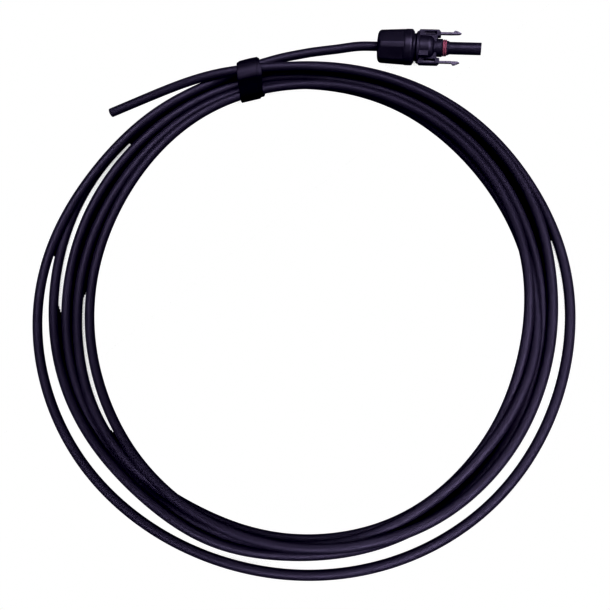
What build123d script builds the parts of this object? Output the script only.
from build123d import *
import os
from math import sin, cos, radians

# A latching cable plug on its own lead, which is wound five times round and strapped.
# Millimetres.  The plug axis is X: the nose tip is at the origin and points to +X, the
# lead leaves towards -X.  +Z is up and the lead lies on the plane z = -NUT_R.
# "Lateral" and "up" of the plug are turned by ROLL about X; left is the +lateral side.
# Revolved outlines are given as (x, radius), plan outlines as (x, lateral).

os.makedirs("parts", exist_ok=True)

# ------------------------------------------------------------ shared dimensions
ROLL = 24.0            # degrees

NECK_R = 7.30          # thread crest and plain neck
THREAD_ROOT_R = 6.60
THREAD_X = -46.20      # rear end of the neck's thread
PITCH = 1.50

FINGER_IN = 7.10       # inner face of a latch finger, from the axis
FINGER_OUT = 8.10
FINGER_H = 1.80        # half height of a latch finger
HEEL_X = -31.20        # round heel at the rear of a finger
HEEL_Y = 7.50
HEEL_R = 1.00

JACKET_R = 2.50

# --------------------------------------------------------- rolled frame of the plug
UP = (0.0, -sin(radians(ROLL)), cos(radians(ROLL)))
LATERAL = (0.0, cos(radians(ROLL)), sin(radians(ROLL)))
TOP = Plane(origin=(0, 0, 0), x_dir=(1, 0, 0), z_dir=UP)         # x along, y lateral
SIDE = Plane(origin=(0, 0, 0), x_dir=(1, 0, 0), z_dir=LATERAL)   # x along, y down
CROSS = Plane(origin=(0, 0, 0), x_dir=LATERAL, z_dir=(1, 0, 0))  # x lateral, y up
LATERAL_AXIS = Axis((0, 0, 0), LATERAL)
SIDES = (1, -1)

# ============================================================ connector housing
NOSE_R = 3.25
NOSE_BORE_R = 2.55
MOUTH_R = 2.20
HUB_R = 4.75
RING_SEAT_R = 3.55
BARREL_R = 6.90
FLANGE_R = 8.60
CHAMBER_R = 3.30       # contact chamber
SNAP_LIP_R = 2.90
SEAL_CAVITY_R = 5.50

HOUSING_REAR = -47.0
BARREL_REAR = -33.2
BARREL_FRONT = -28.2
HUB_FRONT = -20.8

WING_Y = 9.15          # outer face of the side wings
WING_H = 3.60          # half height of the wings
WING_FILLET = 0.7
WING_WALL = 1.00       # wall outside the latch slot
WING_REAR = -34.4
WING_FRONT = -22.1

PAD_REAR = -33.4
PAD_LATERAL, PAD_UP = 3.85, 5.2   # pad centre, mirrored through the axis
PAD_SIZE = (2.6, 3.0)

SLOT_IN = 6.40
SLOT_OUT = WING_Y - WING_WALL
SLOT_MID = (SLOT_IN + SLOT_OUT) / 2
SLOT_WIDTH = SLOT_OUT - SLOT_IN
SLOT_X, SLOT_LENGTH = -27.45, 6.3
SLOT_CUT_H = 6.0       # half height of the slot cut
WINDOW_X, WINDOW_LENGTH = -23.2, 2.6
THROAT_X, THROAT_LENGTH = -30.8, 1.0
THROAT_IN = FINGER_IN - 0.40
HEEL_GAP = 0.05
FINGER_GAP = 0.15      # play above and below a finger

PANEL_X, PANEL_LENGTH = -27.6, 6.6
PANEL_H = 1.9          # half height

with BuildPart() as connector_housing:
    # side wings with chamfered outlines
    with BuildSketch(TOP):
        for side in SIDES:
            with BuildLine():
                Polyline(
                    (WING_REAR, side * 3.0), (WING_REAR, side * (WING_Y - 1.5)),
                    (-33.2, side * WING_Y), (-23.3, side * WING_Y),
                    (WING_FRONT, side * (WING_Y - 1.3)), (WING_FRONT, side * 5.95),
                    (-23.6, side * 5.75), (-24.1, side * 3.0), close=True)
            make_face()
    extrude(amount=WING_H, both=True)
    edge_rows = connector_housing.edges().filter_by(Axis.X).group_by(LATERAL_AXIS)
    fillet(edge_rows[0] + edge_rows[-1], radius=WING_FILLET)
    # turned body: neck, flange, barrel, rounded shoulder, hub, ring seat, bead and nose
    with BuildSketch(TOP):
        with BuildLine():
            Polyline((HOUSING_REAR, 0), (HOUSING_REAR, THREAD_ROOT_R - 0.5),
                     (-46.5, THREAD_ROOT_R), (-37.3, THREAD_ROOT_R),
                     (-36.9, NECK_R), (-35.4, NECK_R),
                     (-34.9, FLANGE_R - 0.45), (-34.5, FLANGE_R), (-33.7, FLANGE_R),
                     (BARREL_REAR, FLANGE_R - 0.4), (BARREL_REAR, BARREL_R),
                     (BARREL_FRONT, BARREL_R))
            ThreePointArc((BARREL_FRONT, BARREL_R), (-26.2, 6.1), (-25.2, HUB_R + 0.15))
            Polyline((-25.2, HUB_R + 0.15), (-24.9, HUB_R), (-21.1, HUB_R),
                     (HUB_FRONT, HUB_R - 0.3), (HUB_FRONT, RING_SEAT_R),
                     (-18.45, RING_SEAT_R), (-18.45, 3.78), (-17.9, 3.80),
                     (-17.1, NOSE_R + 0.10), (-16.8, NOSE_R), (0, NOSE_R), (0, 0),
                     (HOUSING_REAR, 0))
        make_face()
    revolve(axis=Axis.X)
    # raised plain pads on the barrel, top and underside
    with BuildSketch(CROSS.offset(PAD_REAR)):
        for side in SIDES:
            with Locations((-PAD_LATERAL * side, PAD_UP * side)):
                Rectangle(*PAD_SIZE)
    extrude(amount=BARREL_FRONT - PAD_REAR)
    # external thread, its root sunk 0.1 into the neck
    outer_helix_r = THREAD_ROOT_R - 0.1
    outer_depth = NECK_R - outer_helix_r
    with BuildLine():
        outer_helix = Helix(pitch=PITCH, height=8.4, radius=outer_helix_r,
                            center=(THREAD_X, 0, 0), direction=(1, 0, 0))
    start = outer_helix @ 0
    with BuildSketch(Plane(origin=start, x_dir=(0, start.Y, start.Z), z_dir=outer_helix % 0)):
        with BuildLine():
            Polyline((0, -0.52), (outer_depth, -0.24), (outer_depth, 0.24), (0, 0.52),
                     close=True)
        make_face()
    sweep(path=outer_helix, is_frenet=True)
    # stepped bore: seal cavity, contact chamber with snap lip, nose bore, mouth
    with BuildSketch(TOP):
        with BuildLine():
            Polyline((-47.5, 0), (-47.5, SEAL_CAVITY_R), (-37.0, SEAL_CAVITY_R),
                     (-36.6, CHAMBER_R), (-25.0, CHAMBER_R), (-24.7, SNAP_LIP_R),
                     (-24.1, SNAP_LIP_R), (-24.1, CHAMBER_R), (-17.6, CHAMBER_R),
                     (-17.6, NOSE_BORE_R), (-0.9, NOSE_BORE_R), (-0.9, MOUTH_R),
                     (-0.3, MOUTH_R), (0.0, MOUTH_R + 0.3), (0.5, MOUTH_R + 0.3),
                     (0.5, 0), close=True)
        make_face()
    revolve(axis=Axis.X, mode=Mode.SUBTRACT)
    # latch slots, open above and below
    with BuildSketch(TOP.offset(-SLOT_CUT_H)):
        for side in SIDES:
            with Locations((SLOT_X, side * SLOT_MID)):
                Rectangle(SLOT_LENGTH, SLOT_WIDTH)
    extrude(amount=2 * SLOT_CUT_H, mode=Mode.SUBTRACT)
    # front window, heel pocket, and the throat that joins the pocket to the slot
    with BuildSketch(TOP.offset(-FINGER_H - FINGER_GAP)):
        for side in SIDES:
            with Locations((WINDOW_X, side * SLOT_MID)):
                Rectangle(WINDOW_LENGTH, SLOT_WIDTH)
            with Locations((HEEL_X, side * HEEL_Y)):
                Circle(HEEL_R + HEEL_GAP)
            with Locations((THROAT_X, side * (THROAT_IN + SLOT_OUT) / 2)):
                Rectangle(THROAT_LENGTH, SLOT_OUT - THROAT_IN)
    extrude(amount=2 * (FINGER_H + FINGER_GAP), mode=Mode.SUBTRACT)
    # shallow panels, 0.25 deep, in the outer faces of the wings
    with BuildSketch(TOP.offset(-PANEL_H)):
        for side in SIDES:
            with Locations((PANEL_X, side * (WING_Y + 0.1))):
                Rectangle(PANEL_LENGTH, 0.7)
    extrude(amount=2 * PANEL_H, mode=Mode.SUBTRACT)

# ================================================================ latch fingers
TAPER_REAR = -16.5     # the tip thins in height from here forwards
TAPER_FRONT = -10.5
TAPER_DROP = 0.55

# arm and barbed tip in plan, on the left side
FINGER_OUTLINE = [
    (HEEL_X, FINGER_IN), (-16.4, FINGER_IN), (-12.2, FINGER_IN + 0.1),
    (-11.2, FINGER_IN + 0.45), (-11.1, FINGER_IN + 0.75), (-13.5, 8.85), (-14.1, 9.00),
    (-14.7, 8.95), (-15.5, FINGER_OUT), (HEEL_X, FINGER_OUT)]


def latch_finger(side):
    """Latch finger on one side of the axis: 1 is left, -1 is right."""
    with BuildPart() as finger:
        with BuildSketch(TOP):
            with BuildLine():
                Polyline(*[(x, side * y) for x, y in FINGER_OUTLINE], close=True)
            make_face()
            with Locations((HEEL_X, side * HEEL_Y)):
                Circle(HEEL_R)
        extrude(amount=FINGER_H, both=True)
        # wedges cut off above and below the tip
        with BuildSketch(SIDE):
            for face in SIDES:
                with BuildLine():
                    Polyline((TAPER_REAR, face * FINGER_H),
                             (TAPER_FRONT, face * (FINGER_H - TAPER_DROP)),
                             (TAPER_FRONT, face * 3.0), (TAPER_REAR, face * 3.0), close=True)
                make_face()
        extrude(amount=12 * side, mode=Mode.SUBTRACT)
    return finger.part


# =============================================================== nose seal ring
RING_REAR = -20.72
RING_FRONT = -18.52
RING_IN = 3.60

with BuildPart() as nose_seal_ring:
    # two rounded ribs side by side
    with BuildSketch(TOP):
        with BuildLine():
            Polyline((RING_REAR, RING_IN), (RING_REAR, 4.10))
            ThreePointArc((RING_REAR, 4.10), (-20.2, 4.46), (-19.60, 4.16))
            ThreePointArc((-19.60, 4.16), (-19.05, 4.38), (RING_FRONT, 4.02))
            Polyline((RING_FRONT, 4.02), (RING_FRONT, RING_IN), (RING_REAR, RING_IN))
        make_face()
    revolve(axis=Axis.X)

# ================================================================ socket contact
SOCKET_R = 2.50        # outside of the socket
SOCKET_BORE_R = 2.05
GROOVE_R = 2.30        # groove of the spring band
GROOVE_REAR = -12.5
GROOVE_FRONT = -4.5
CONTACT_COLLAR_R = 3.10
WAIST_R = 1.90
CRIMP_R = 1.85         # crimp barrel
WIRE_BORE_R = 1.10
WIRE_BORE_X, WIRE_BORE_LENGTH = -34.0, 8.0
INSPECTION_X, INSPECTION_R = -26.9, 0.45

with BuildPart() as socket_contact:
    with BuildSketch(TOP):
        with BuildLine():
            Polyline((-1.2, 0), (-1.2, SOCKET_R - 0.2), (-1.4, SOCKET_R), (-17.75, SOCKET_R),
                     (-17.75, CONTACT_COLLAR_R), (-20.3, CONTACT_COLLAR_R), (-20.3, WAIST_R),
                     (-24.3, WAIST_R), (-24.3, 2.45), (-25.3, 2.45), (-25.6, CRIMP_R),
                     (-33.4, CRIMP_R), (-33.6, CRIMP_R - 0.2), (-33.6, 0), close=True)
        make_face()
    revolve(axis=Axis.X)
    # socket bore with the groove of the spring band
    with BuildSketch(TOP):
        with BuildLine():
            Polyline((-1.0, 0), (-1.0, 2.20), (-1.35, SOCKET_BORE_R),
                     (GROOVE_FRONT, SOCKET_BORE_R), (GROOVE_FRONT, GROOVE_R),
                     (GROOVE_REAR, GROOVE_R), (GROOVE_REAR, SOCKET_BORE_R),
                     (-15.6, SOCKET_BORE_R), (-16.0, 1.6), (-16.0, 0), close=True)
        make_face()
    revolve(axis=Axis.X, mode=Mode.SUBTRACT)
    # wire bore, and inspection hole in the top of the crimp barrel
    with BuildSketch(CROSS.offset(WIRE_BORE_X)):
        Circle(WIRE_BORE_R)
    extrude(amount=WIRE_BORE_LENGTH, mode=Mode.SUBTRACT)
    with BuildSketch(TOP.offset(0.5)):
        with Locations((INSPECTION_X, 0)):
            Circle(INSPECTION_R)
    extrude(amount=2.0, mode=Mode.SUBTRACT)

# =========================================================== contact spring band
BAND_REAR = GROOVE_REAR + 0.1
BAND_LENGTH = GROOVE_FRONT - GROOVE_REAR - 0.2
BAND_OUT = 2.28
BAND_IN = 2.09
BAND_RIM = 1.0         # uncut rim at each end

with BuildPart() as contact_spring_band:
    with BuildSketch(CROSS.offset(BAND_REAR)):
        Circle(BAND_OUT)
        Circle(BAND_IN, mode=Mode.SUBTRACT)
    extrude(amount=BAND_LENGTH)
    # lengthwise slots right through the strip
    with BuildSketch(CROSS.offset(BAND_REAR + BAND_RIM)):
        with PolarLocations(2.2, 14):
            Rectangle(0.8, 0.42)
    extrude(amount=BAND_LENGTH - 2 * BAND_RIM, mode=Mode.SUBTRACT)

# ======================================================== contact retaining clip
CLIP_REAR = -24.05
CLIP_CUT_X = -25.0     # both cuts start behind the clip

with BuildPart() as contact_retaining_clip:
    with BuildSketch(TOP):
        with BuildLine():
            Polyline((CLIP_REAR, 2.85), (CLIP_REAR, 3.22), (-23.75, 3.22), (-21.3, 2.35),
                     (-20.4, 2.30), (-20.4, 1.98), (-21.4, 1.98), close=True)
        make_face()
    revolve(axis=Axis.X)
    # four slits in the flared rear
    with BuildSketch(CROSS.offset(CLIP_CUT_X)):
        with PolarLocations(3.0, 4):
            Rectangle(2.4, 0.6)
    extrude(amount=3.4, mode=Mode.SUBTRACT)
    # full-length gap at the top
    with BuildSketch(CROSS.offset(CLIP_CUT_X)):
        with Locations((0, 2.6)):
            Rectangle(0.8, 2.2)
    extrude(amount=6.0, mode=Mode.SUBTRACT)

# =========================================================== cable seal grommet
GROMMET_BORE_R = JACKET_R + 0.04
GROMMET_RIB_R = 5.44
GROMMET_GROOVE_R = 5.05
GROMMET_REAR = -46.9
GROMMET_FRONT = -37.5

with BuildPart() as cable_seal_grommet:
    with BuildSketch(TOP):
        with BuildLine():
            Polyline((GROMMET_REAR, GROMMET_BORE_R), (GROMMET_REAR, 5.0),
                     (-46.3, GROMMET_RIB_R), (-45.4, GROMMET_RIB_R),
                     (-44.9, GROMMET_GROOVE_R), (-43.9, GROMMET_GROOVE_R),
                     (-43.4, GROMMET_RIB_R), (-42.5, GROMMET_RIB_R),
                     (-42.0, GROMMET_GROOVE_R), (-41.0, GROMMET_GROOVE_R),
                     (-40.5, GROMMET_RIB_R), (-38.3, GROMMET_RIB_R),
                     (GROMMET_FRONT, 4.9), (GROMMET_FRONT, GROMMET_BORE_R), close=True)
        make_face()
    revolve(axis=Axis.X)

# ================================================================= clamp collet
COLLET_BORE_R = JACKET_R + 0.08
COLLET_R = 5.9         # front flange
COLLET_FRONT = -47.3
COLLET_REAR = -54.8

with BuildPart() as clamp_collet:
    with BuildSketch(TOP):
        with BuildLine():
            Polyline((COLLET_FRONT, COLLET_BORE_R), (COLLET_FRONT, COLLET_R),
                     (-48.3, COLLET_R), (-48.6, 5.75), (-53.2, 4.35),
                     (COLLET_REAR, 3.85), (COLLET_REAR, COLLET_BORE_R), close=True)
        make_face()
    revolve(axis=Axis.X)
    # slits that make the gripping fingers
    with BuildSketch(CROSS.offset(COLLET_REAR - 0.2)):
        with PolarLocations(4.6, 8):
            Rectangle(4.6, 0.7)
    extrude(amount=6.0, mode=Mode.SUBTRACT)
    # keying notches in the flange
    with BuildSketch(CROSS.offset(-48.4)):
        with PolarLocations(COLLET_R, 4):
            Rectangle(0.9, 1.2)
    extrude(amount=1.2, mode=Mode.SUBTRACT)

# ==================================================================== gland nut
NUT_R = 9.60           # round front collar
NUT_FLAT = 8.95        # centre to flat at the collar
NUT_FLAT_REAR = 8.05   # the same, HEX_RUN behind it: the flats taper
HEX_FRONT = -41.6
HEX_RUN = 20.0
NUT_REAR = -56.20
NUT_FRONT = -36.40
NUT_BORE_R = 7.50      # root of the internal thread
NUT_MINOR_R = 6.78     # its crest
NUT_EXIT_R = 3.10

with BuildPart() as gland_nut:
    # six tapering flats with rounded corners between them
    for hex_x, flat, corner in ((HEX_FRONT - HEX_RUN, NUT_FLAT_REAR, 2.6),
                                (HEX_FRONT, NUT_FLAT, 2.9)):
        with BuildSketch(CROSS.offset(hex_x)) as hexagon:
            RegularPolygon(radius=flat, side_count=6, major_radius=False, rotation=30)
            fillet(hexagon.vertices(), radius=corner)
    loft()
    # rounded rear end
    with BuildSketch(TOP):
        with BuildLine():
            Polyline((NUT_REAR, 0), (NUT_REAR, 6.3))
            ThreePointArc((NUT_REAR, 6.3), (-55.55, 8.15), (-53.8, 9.0))
            Polyline((-53.8, 9.0), (HEX_FRONT, 9.58), (HEX_FRONT, 0), (NUT_REAR, 0))
        make_face()
    revolve(axis=Axis.X, mode=Mode.INTERSECT)
    # round front collar
    with BuildSketch(TOP):
        with BuildLine():
            Polyline((-41.7, 0), (-41.7, 9.35), (-40.9, 9.56), (-40.2, NUT_R),
                     (-37.9, NUT_R), (-37.3, 9.45), (NUT_FRONT, 8.25), (NUT_FRONT, 0),
                     (-41.7, 0))
        make_face()
    revolve(axis=Axis.X)
    # inside: threaded skirt, collet cavity with its cone, cable exit
    with BuildSketch(TOP):
        with BuildLine():
            Polyline((-36.0, 0), (-36.0, NUT_BORE_R + 0.3), (NUT_FRONT, NUT_BORE_R + 0.3),
                     (-36.8, NUT_BORE_R), (-47.2, NUT_BORE_R), (-47.9, 6.6), (-48.4, 6.1),
                     (-48.8, 5.9), (-53.2, 4.52), (-55.0, 4.0), (-55.0, NUT_EXIT_R),
                     (-55.8, NUT_EXIT_R), (-56.3, NUT_EXIT_R + 0.5), (-56.6, 0), close=True)
        make_face()
    revolve(axis=Axis.X, mode=Mode.SUBTRACT)
    # internal thread, half a pitch out of phase with the neck's, sunk 0.12 into the wall
    inner_helix_r = NUT_BORE_R + 0.12
    inner_depth = inner_helix_r - NUT_MINOR_R
    with BuildLine():
        inner_helix = Helix(pitch=PITCH, height=6.0, radius=inner_helix_r,
                            center=(THREAD_X + 1.5 * PITCH, 0, 0), direction=(1, 0, 0))
    start = inner_helix @ 0
    with BuildSketch(Plane(origin=start, x_dir=(0, start.Y, start.Z), z_dir=inner_helix % 0)):
        with BuildLine():
            Polyline((0, -0.42), (-inner_depth, -0.16), (-inner_depth, 0.16), (0, 0.42),
                     close=True)
        make_face()
    sweep(path=inner_helix, is_frenet=True)

# ================================================================= cable layers
JACKET_IN = 1.78
INSULATION_R = 1.75
INSULATION_IN = 1.05
CONDUCTOR_R = 1.02
JACKET_X = -37.40      # where each layer starts inside the connector
INSULATION_X = -34.20
CONDUCTOR_X = -26.60
TAIL = 14.0            # straight length at the cut end
COIL_START = 6         # station where the bend ends and the coil begins
COIL_RUNS = 20         # the coil is swept in this many pieces

# centre line of the lead from the end of its first straight: (x, y, z)
PATH = [
    (-60.50, 0.00, 0.00), (-68.50, -0.45, 0.00), (-76.50, -1.95, -0.02), (-84.13, -3.28, -0.03),
    (-94.50, -5.24, 0.06), (-101.61, -7.00, 0.13), (-118.69, -12.36, 0.19),
    (-135.18, -19.31, -0.24), (-151.16, -27.36, -0.96), (-166.44, -36.67, -1.14), (-180.33, -47.96, -1.24),
    (-192.40, -61.17, -1.45), (-202.65, -75.84, -1.68), (-211.24, -91.54, -1.83), (-218.13, -108.06, -2.00),
    (-223.00, -125.28, -2.41), (-225.46, -143.00, -3.03), (-225.23, -160.87, -3.78), (-222.28, -178.51, -4.56),
    (-216.77, -195.52, -5.29), (-208.94, -211.60, -5.90), (-199.05, -226.51, -6.36), (-187.30, -240.00, -6.69),
    (-173.87, -251.83, -6.91), (-159.04, -261.85, -7.04), (-143.12, -270.03, -7.09), (-126.36, -276.31, -7.10),
    (-108.99, -280.63, -7.10), (-91.24, -282.93, -7.10), (-73.34, -283.13, -7.10), (-55.56, -281.10, -7.10),
    (-38.19, -276.80, -7.10), (-21.54, -270.24, -7.10), (-5.95, -261.45, -7.10), (8.27, -250.59, -7.10),
    (20.82, -237.83, -7.10), (31.38, -223.38, -7.10), (39.81, -207.60, -7.10), (46.09, -190.84, -7.10),
    (50.21, -173.42, -7.10), (52.13, -155.63, -7.09), (51.74, -137.73, -7.06), (48.91, -120.06, -7.04),
    (43.65, -102.96, -7.05), (36.22, -86.67, -7.09), (26.98, -71.34, -7.09), (16.12, -57.12, -7.02),
    (3.64, -44.29, -6.89), (-10.43, -33.23, -6.74), (-25.90, -24.23, -6.58), (-42.45, -17.41, -6.39),
    (-59.74, -12.79, -6.14), (-77.47, -10.35, -5.82), (-95.36, -10.07, -5.47), (-113.16, -11.96, -5.18),
    (-130.59, -16.03, -5.09), (-147.26, -22.52, -5.26), (-162.79, -31.40, -5.72), (-177.01, -42.26, -6.16),
    (-189.75, -54.83, -6.50), (-200.72, -68.96, -6.73), (-209.53, -84.54, -6.92), (-215.76, -101.31, -7.08),
    (-219.29, -118.86, -7.04), (-220.22, -136.73, -6.77), (-218.73, -154.56, -6.33), (-214.98, -172.05, -5.74),
    (-209.01, -188.91, -5.05), (-200.82, -204.80, -4.32), (-190.54, -219.44, -3.60), (-178.43, -232.60, -2.94),
    (-164.83, -244.23, -2.49), (-150.16, -254.48, -2.25), (-134.62, -263.37, -2.32), (-118.16, -270.32, -3.10),
    (-100.78, -274.26, -4.62), (-82.95, -275.03, -5.95), (-65.14, -273.49, -6.67), (-47.62, -269.85, -6.99),
    (-30.78, -263.80, -7.09), (-15.09, -255.19, -7.10), (-0.98, -244.20, -7.10), (11.28, -231.17, -7.10),
    (21.45, -216.44, -7.10), (29.37, -200.40, -7.10), (34.95, -183.40, -7.10), (38.17, -165.79, -7.10),
    (39.04, -147.92, -7.10), (37.35, -130.10, -7.10), (33.37, -112.65, -7.10), (27.35, -95.80, -7.10),
    (19.31, -79.81, -7.09), (9.25, -65.01, -7.07), (-2.76, -51.75, -7.03), (-16.56, -40.35, -6.97),
    (-31.87, -31.09, -6.91), (-48.39, -24.20, -6.84), (-65.70, -19.68, -6.70), (-83.45, -17.37, -6.33),
    (-101.33, -17.23, -5.63), (-119.06, -19.56, -5.07), (-136.24, -24.59, -5.10), (-152.37, -32.32, -5.38),
    (-167.09, -42.48, -5.75), (-180.11, -54.75, -6.13), (-191.20, -68.79, -6.44), (-200.14, -84.29, -6.66),
    (-206.72, -100.93, -6.83), (-210.81, -118.35, -6.96), (-212.40, -136.18, -7.05), (-211.59, -154.06, -7.09),
    (-208.47, -171.68, -7.09), (-203.05, -188.74, -7.07), (-195.33, -204.88, -7.07), (-185.42, -219.78, -7.09),
    (-173.61, -233.22, -7.10), (-160.10, -244.96, -7.07), (-145.07, -254.67, -6.73), (-128.78, -262.04, -5.96),
    (-111.65, -267.06, -4.81), (-94.01, -269.92, -3.77), (-76.13, -270.47, -3.27), (-58.38, -268.25, -2.92),
    (-41.28, -263.03, -2.47), (-25.36, -254.89, -2.11), (-10.91, -244.33, -1.90), (2.00, -231.94, -1.70),
    (13.31, -218.07, -1.47), (22.85, -202.93, -1.28), (30.31, -186.67, -1.41), (34.93, -169.40, -2.12),
    (35.89, -151.57, -3.04), (33.80, -133.82, -3.96), (29.39, -116.50, -4.88), (22.79, -99.89, -5.68),
    (14.11, -84.25, -6.30), (3.60, -69.77, -6.71), (-8.56, -56.63, -6.88), (-22.24, -45.09, -6.81),
    (-37.38, -35.55, -6.57), (-53.80, -28.46, -6.25), (-71.13, -24.02, -5.89), (-88.93, -22.18, -5.50),
    (-106.81, -22.83, -5.16), (-124.39, -26.11, -4.96), (-141.19, -32.27, -5.02), (-156.53, -41.45, -5.40),
    (-169.96, -53.26, -5.96), (-181.34, -67.06, -6.46), (-190.64, -82.35, -6.79), (-197.81, -98.75, -6.92),
    (-202.69, -115.96, -6.88), (-205.10, -133.69, -6.71), (-204.93, -151.59, -6.46), (-202.29, -169.28, -6.08),
    (-197.41, -186.49, -5.55), (-190.36, -202.93, -4.94), (-180.96, -218.15, -4.43), (-169.14, -231.57, -4.27),
    (-155.24, -242.82, -4.75), (-139.76, -251.75, -5.66), (-123.25, -258.61, -6.62), (-106.10, -263.70, -7.09),
    (-88.45, -266.61, -7.10), (-70.56, -266.76, -7.10), (-52.87, -264.07, -7.10), (-35.83, -258.62, -7.10),
    (-20.01, -250.27, -7.07), (-5.99, -239.17, -6.93), (5.96, -225.85, -6.64), (15.75, -210.89, -6.09),
    (23.19, -194.65, -5.08), (28.14, -177.54, -3.33), (30.91, -159.99, -1.18), (31.49, -142.16, 0.18),
    (29.72, -124.36, 0.28), (25.38, -107.00, -0.22), (18.63, -90.44, -0.80), (9.61, -74.99, -1.23),
    (-1.59, -61.04, -1.47), (-14.80, -48.97, -1.53), (-29.73, -39.12, -1.44), (-46.02, -31.71, -1.27),
    (-63.25, -26.90, -1.07), (-81.01, -24.70, -0.95), (-98.90, -25.09, -1.03), (-116.54, -28.05, -1.44),
    (-133.52, -33.67, -2.12), (-149.26, -42.12, -2.96), (-163.17, -53.32, -3.92), (-174.85, -66.84, -4.88),
    (-184.21, -82.07, -5.70), (-191.25, -98.51, -6.26), (-195.97, -115.77, -6.55), (-198.27, -133.52, -6.57),
    (-198.03, -151.41, -6.37), (-195.22, -169.08, -5.95), (-189.93, -186.16, -5.30), (-182.37, -202.36, -4.42),
    (-172.84, -217.47, -3.33), (-161.49, -231.25, -2.14), (-148.38, -243.39, -1.06), (-133.70, -253.59, -0.24),
    (-117.72, -261.61, 0.45), (-100.74, -267.21, 1.10), (-83.10, -270.12, 1.68), (-65.21, -270.27, 2.01),
    (-47.49, -267.78, 1.90), (-30.35, -262.69, 1.18), (-14.19, -255.08, 0.20), (0.45, -244.85, -0.78),
    (13.17, -232.30, -1.63), (23.79, -217.92, -2.33), (32.13, -202.09, -2.89), (38.12, -185.24, -3.32),
    (41.86, -167.74, -3.64), (43.34, -149.90, -3.86), (42.63, -132.02, -3.97), (39.96, -114.32, -3.93),
    (35.25, -97.05, -3.72), (28.11, -80.65, -3.41), (18.50, -65.56, -3.06), (6.68, -52.13, -2.65),
    (-6.98, -40.59, -2.14), (-22.12, -31.06, -1.47), (-38.42, -23.73, -0.60), (-55.57, -18.72, 0.46),
    (-73.23, -16.10, 1.68), (-91.08, -15.72, 2.95), (-108.89, -17.13, 4.15), (-126.58, -19.75, 4.94),
    (-144.15, -23.18, 4.58), (-161.33, -27.54, 2.10), (-178.07, -32.89, -1.34), (-194.58, -38.99, -4.63),
]

COIL = Spline(*PATH[COIL_START:])
BEND = Spline(*PATH[:COIL_START + 1], tangents=[(-1, 0, 0), tuple(COIL % 0)])
TAIL_DIR = COIL % 1
TAIL_START = COIL @ 1
TAIL_END = TAIL_START + TAIL_DIR * TAIL


def cable_layer(start_x, *radii):
    """One layer of the lead, from start_x in the plug to the square cut end.
    radii: outer and inner, or the outer alone for a solid core."""
    runs = [Line((start_x, 0, 0), PATH[0]), BEND]
    runs += [COIL.trim(i / COIL_RUNS, (i + 1) / COIL_RUNS) for i in range(COIL_RUNS)]
    runs += [Line(TAIL_START, TAIL_END)]
    faces = []
    for radius in radii:
        for run in runs:
            ring = (Plane(origin=run @ 0, z_dir=run % 0) * Circle(radius)).edge()
            faces += list(Shell.sweep(ring, run).faces())
    for point, direction in ((runs[0] @ 0, runs[0] % 0), (TAIL_END, TAIL_DIR)):
        end = Plane(origin=point, z_dir=direction)
        rims = [Wire([(end * Circle(radius)).edge()]) for radius in radii]
        faces.append(Face(rims[0], rims[1:]))
    solid = Solid(Shell(faces))
    with BuildPart() as layer:
        add(solid)
    return layer.part


# ================================================================ bundle strap
# The strap hugs the bundle in two overlapping wraps; its edges are square to
# STRAP_SKEW, a little askew of the bundle's own direction.
STRAP_O = (-127.83, -21.93, 0.0)
STRAP_DIR = (-0.9572, -0.2894, 0.0)
STRAP_SKEW = (-0.9952, -0.0977, 0.0)
SECTION = Plane(origin=STRAP_O, x_dir=(-STRAP_DIR[1], STRAP_DIR[0], 0), z_dir=STRAP_DIR)
# centres of the cable runs it holds, in SECTION: (lateral, height)
RUNS = [(-2.47, 5.01), (-6.55, 0.20), (-6.45, -5.09), (-5.89, -5.13), (0.38, -5.09),
        (5.45, -5.02), (9.35, -2.01), (9.07, -1.48), (-0.56, 4.64), (-1.09, 4.80),
        (-1.90, 4.98)]
STRAP_T = 0.62
STRAP_GAP = 0.22
STRAP_REACH = 18       # half length of the sleeve before its edges are trimmed
UNDER_EDGES = (-9.4, 2.8)   # along STRAP_SKEW
OVER_EDGES = (-7.2, 4.2)


def strap_wrap(inner, edges):
    """Sleeve round the bundle, its inside `inner` from the run centres, trimmed at edges."""
    with BuildPart() as wrap:
        for radius, reach, mode in ((inner + STRAP_T, STRAP_REACH, Mode.ADD),
                                    (inner, STRAP_REACH + 1, Mode.SUBTRACT)):
            with BuildSketch(SECTION.offset(-reach)):
                with Locations(*RUNS):
                    Circle(radius)
                make_hull()
            extrude(amount=2 * reach, mode=mode)
        for edge, keep in zip(edges, (Keep.TOP, Keep.BOTTOM)):
            origin = Vector(STRAP_O) + Vector(STRAP_SKEW) * edge
            split(bisect_by=Plane(origin=origin, z_dir=STRAP_SKEW), keep=keep)
    return wrap.part


strap_under = strap_wrap(JACKET_R + STRAP_GAP, UNDER_EDGES)
strap_over = strap_wrap(JACKET_R + STRAP_GAP + STRAP_T, OVER_EDGES)

with BuildPart() as bundle_strap:
    add(strap_under)
    add(strap_over)

# ====================================================================== export
PIECES = {
    "connector_housing": connector_housing.part,
    "latch_finger_left": latch_finger(1),
    "latch_finger_right": latch_finger(-1),
    "nose_seal_ring": nose_seal_ring.part,
    "socket_contact": socket_contact.part,
    "contact_spring_band": contact_spring_band.part,
    "contact_retaining_clip": contact_retaining_clip.part,
    "cable_seal_grommet": cable_seal_grommet.part,
    "clamp_collet": clamp_collet.part,
    "gland_nut": gland_nut.part,
    "cable_jacket": cable_layer(JACKET_X, JACKET_R, JACKET_IN),
    "cable_insulation": cable_layer(INSULATION_X, INSULATION_R, INSULATION_IN),
    "cable_conductor": cable_layer(CONDUCTOR_X, CONDUCTOR_R),
    "bundle_strap": bundle_strap.part,
}
for name, part in PIECES.items():
    part.label = name
    export_step(part, f"parts/{name}.step")
